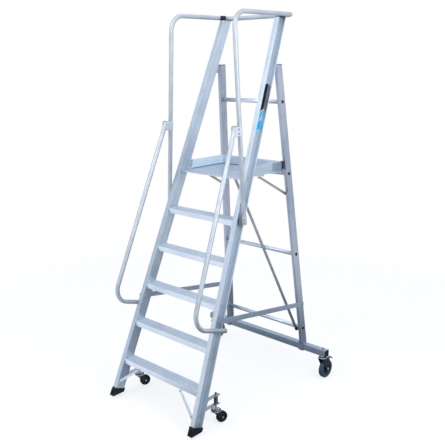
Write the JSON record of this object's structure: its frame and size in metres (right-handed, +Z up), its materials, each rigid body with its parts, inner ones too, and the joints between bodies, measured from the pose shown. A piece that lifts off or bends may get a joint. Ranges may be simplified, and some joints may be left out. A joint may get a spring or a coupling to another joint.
{
  "type": "rolling warehouse ladder",
  "caption": "Wheeled warehouse step ladder with raked treads, a railed platform, bent handrails, sprung front casters and braked rear casters under a wide base bar.",
  "frame": {"origin": "centre of the ladder's outline on the floor that all four wheels stand on", "axes": "+X to the climber's right, +Y the way the climber faces, +Z up"},
  "size_m": [1.286, 1.478, 2.883],
  "materials": {
    "extrusion": "mill-finished extrusion, faint lines along its length",
    "tube": "drawn tube, satin",
    "plated": "zinc plated",
    "black_plastic": "moulded",
    "black_steel": "satin black coating",
    "spring_steel": "blackened spring wire",
    "rubber": "moulded, matte",
    "tyre": "smooth grey-black tread on a dark blue hub"
  },
  "bodies": {
    "frame": {"stile_left": "extrusion", "stile_right": "extrusion", "tread_1": "extrusion", "tread_2": "extrusion", "tread_3": "extrusion", "tread_4": "extrusion", "tread_5": "extrusion", "tread_brace_left": "extrusion", "tread_brace_right": "extrusion", "platform_deck": "extrusion", "toe_board_left": "extrusion", "toe_board_right": "extrusion", "toe_board_rear": "extrusion", "knee_brace_left": "extrusion", "knee_brace_right": "extrusion", "rear_leg_left": "extrusion", "rear_leg_right": "extrusion", "diagonal_brace": "extrusion", "side_brace_left": "extrusion", "side_brace_right": "extrusion", "base_bar": "extrusion", "rear_rung_1": "tube", "rear_rung_2": "tube", "rear_rung_3": "tube", "rear_rung_4": "tube", "guardrail": "tube", "handrail_left": "tube", "handrail_right": "tube", "handrail_clamp_left": "plated", "handrail_clamp_right": "plated", "post_saddle_left": "plated", "post_saddle_right": "plated", "caster_bracket_left": "plated", "caster_bracket_right": "plated", "swivel_plate_left": "plated", "swivel_plate_right": "plated", "stile_cap_left": "black_plastic", "stile_cap_right": "black_plastic", "base_bar_cap_left": "black_plastic", "base_bar_cap_right": "black_plastic", "caster_spring_left": "spring_steel", "caster_spring_right": "spring_steel", "foot_left": "rubber", "foot_right": "rubber"},
    "front_stem_left": {"caster_stem_left": "plated"},
    "front_swivel_left": {"front_fork_left": "black_steel", "front_axle_left": "plated"},
    "front_wheel_left": {"front_wheel_left": "rubber"},
    "front_stem_right": {"caster_stem_right": "plated"},
    "front_swivel_right": {"front_fork_right": "black_steel", "front_axle_right": "plated"},
    "front_wheel_right": {"front_wheel_right": "rubber"},
    "rear_swivel_left": {"rear_fork_left": "black_steel", "rear_axle_left": "plated"},
    "rear_wheel_left": {"rear_wheel_left": "tyre"},
    "brake_pedal_left": {"brake_pedal_left": "black_steel"},
    "rear_swivel_right": {"rear_fork_right": "black_steel", "rear_axle_right": "plated"},
    "rear_wheel_right": {"rear_wheel_right": "tyre"},
    "brake_pedal_right": {"brake_pedal_right": "black_steel"}
  },
  "joints": [
    {"name": "front_spring_left", "type": "slide", "parent": "frame", "child": "front_stem_left", "axis": [0, 0, 1], "range_m": [0, 0.02], "stiffness_N_per_m": 3000, "springref_m": -0.06, "deforming": ["caster_spring_left"]},
    {"name": "front_swivel_left", "type": "hinge", "parent": "front_stem_left", "child": "front_swivel_left", "pos_m": [-0.423, -0.459, 0.12], "axis": [0, 0, 1], "continuous": true},
    {"name": "front_roll_left", "type": "hinge", "parent": "front_swivel_left", "child": "front_wheel_left", "pos_m": [-0.40879, -0.41525, 0.042], "axis": [0.9511, -0.309, 0], "continuous": true},
    {"name": "front_spring_right", "type": "slide", "parent": "frame", "child": "front_stem_right", "axis": [0, 0, 1], "range_m": [0, 0.02], "stiffness_N_per_m": 3000, "springref_m": -0.06, "deforming": ["caster_spring_right"]},
    {"name": "front_swivel_right", "type": "hinge", "parent": "front_stem_right", "child": "front_swivel_right", "pos_m": [0.423, -0.459, 0.12], "axis": [0, 0, 1], "continuous": true},
    {"name": "front_roll_right", "type": "hinge", "parent": "front_swivel_right", "child": "front_wheel_right", "pos_m": [0.43721, -0.41525, 0.042], "axis": [0.9511, -0.309, 0], "continuous": true},
    {"name": "rear_swivel_left", "type": "hinge", "parent": "frame", "child": "rear_swivel_left", "pos_m": [-0.603, 0.619, 0.19], "axis": [0, 0, 1], "continuous": true},
    {"name": "rear_roll_left", "type": "hinge", "parent": "rear_swivel_left", "child": "rear_wheel_left", "pos_m": [-0.603, 0.661, 0.075], "axis": [1, 0, 0], "continuous": true},
    {"name": "brake_left", "type": "hinge", "parent": "rear_swivel_left", "child": "brake_pedal_left", "pos_m": [-0.603, 0.675, 0.159], "axis": [1, 0, 0], "range_deg": [-14, 0]},
    {"name": "rear_swivel_right", "type": "hinge", "parent": "frame", "child": "rear_swivel_right", "pos_m": [0.603, 0.619, 0.19], "axis": [0, 0, 1], "continuous": true},
    {"name": "rear_roll_right", "type": "hinge", "parent": "rear_swivel_right", "child": "rear_wheel_right", "pos_m": [0.603, 0.661, 0.075], "axis": [1, 0, 0], "continuous": true},
    {"name": "brake_right", "type": "hinge", "parent": "rear_swivel_right", "child": "brake_pedal_right", "pos_m": [0.603, 0.675, 0.159], "axis": [1, 0, 0], "range_deg": [-14, 0]}
  ]
}
